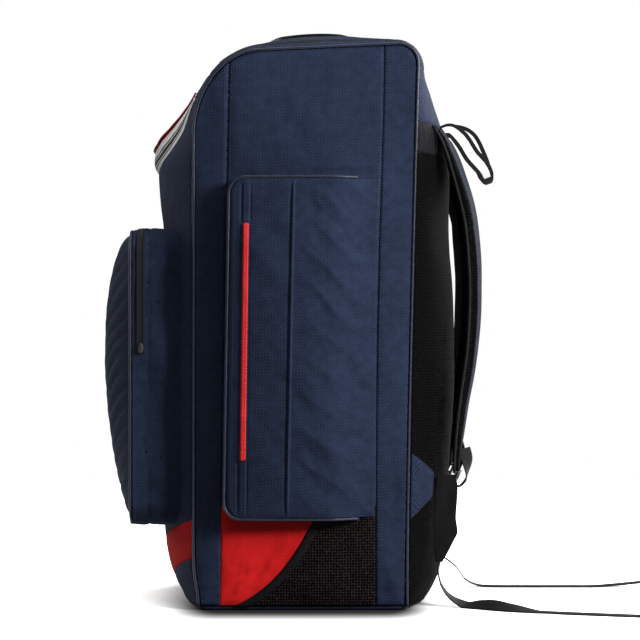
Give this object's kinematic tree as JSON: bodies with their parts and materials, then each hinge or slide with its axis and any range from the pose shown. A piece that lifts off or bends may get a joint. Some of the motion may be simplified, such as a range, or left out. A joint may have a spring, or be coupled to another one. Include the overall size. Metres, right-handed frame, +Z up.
{
  "type": "cricket kit bag",
  "caption": "Upright padded sports kit bag worn on the back, with a front pocket, side pockets, webbing handles, shoulder straps and a waist belt lying loose.",
  "frame": {"origin": "on the floor, in the middle of the base between the side panels", "axes": "+Z up, -Y towards the front pocket, +Y towards the wearer's back, +X towards the wearer's right side"},
  "size_m": [0.4622, 0.8396, 0.8502],
  "materials": {
    "navy_cloth": "coarse navy polyester with a fine diagonal weave and a slight sheen",
    "red_cloth": "red polyester of the same weave",
    "black_cloth": "plain black polyester",
    "black_mesh": "black spacer mesh with small round holes",
    "piping": "navy piping cord with a satin cover",
    "zip_tape": "dark woven tape with a coil",
    "red_tape": "red woven tape",
    "grey_webbing": "light grey ribbed webbing with black edges",
    "black_webbing": "black ribbed webbing",
    "buckle_plastic": "moulded black plastic"
  },
  "bodies": {
    "root": {"front_foot_panel": "navy_cloth", "front_red_band": "red_cloth", "front_panel": "navy_cloth", "top_panel": "navy_cloth", "back_yoke": "navy_cloth", "back_band": "black_cloth", "back_mesh_pad": "black_mesh", "side_front_strip_right": "navy_cloth", "side_front_strip_left": "navy_cloth", "side_centre_right": "navy_cloth", "side_centre_left": "navy_cloth", "side_back_strip_right": "navy_cloth", "side_back_strip_left": "navy_cloth", "side_red_corner_right": "red_cloth", "side_red_corner_left": "red_cloth", "side_mesh_corner_right": "black_mesh", "side_mesh_corner_left": "black_mesh", "corner_binding_right": "black_cloth", "corner_binding_left": "black_cloth", "side_piping_right": "piping", "side_piping_left": "piping", "base_piping": "piping", "base_panel": "navy_cloth", "main_zip": "zip_tape", "main_zip_slider": "buckle_plastic", "top_handle": "grey_webbing", "front_handle": "grey_webbing", "pocket_gusset": "navy_cloth", "pocket_piping": "piping", "pocket_face": "navy_cloth", "pocket_zip": "zip_tape", "pocket_slider": "buckle_plastic", "side_pocket_face_right": "navy_cloth", "side_pocket_face_left": "navy_cloth", "side_pocket_gusset_right": "navy_cloth", "side_pocket_gusset_left": "navy_cloth", "side_pocket_piping_right": "piping", "side_pocket_piping_left": "piping", "side_pocket_zip_right": "red_tape", "side_pocket_zip_left": "red_tape", "haul_loop": "grey_webbing", "shoulder_strap_right": "navy_cloth", "shoulder_strap_left": "navy_cloth", "ladder_lock_right": "buckle_plastic", "ladder_lock_left": "buckle_plastic", "strap_webbing_right": "black_webbing", "strap_webbing_left": "black_webbing", "anchor_wing_right": "navy_cloth", "anchor_wing_left": "navy_cloth", "waist_wing_right": "black_cloth", "waist_wing_left": "black_cloth", "waist_tail_right": "black_webbing", "waist_tail_left": "black_webbing"}
  },
  "joints": []
}
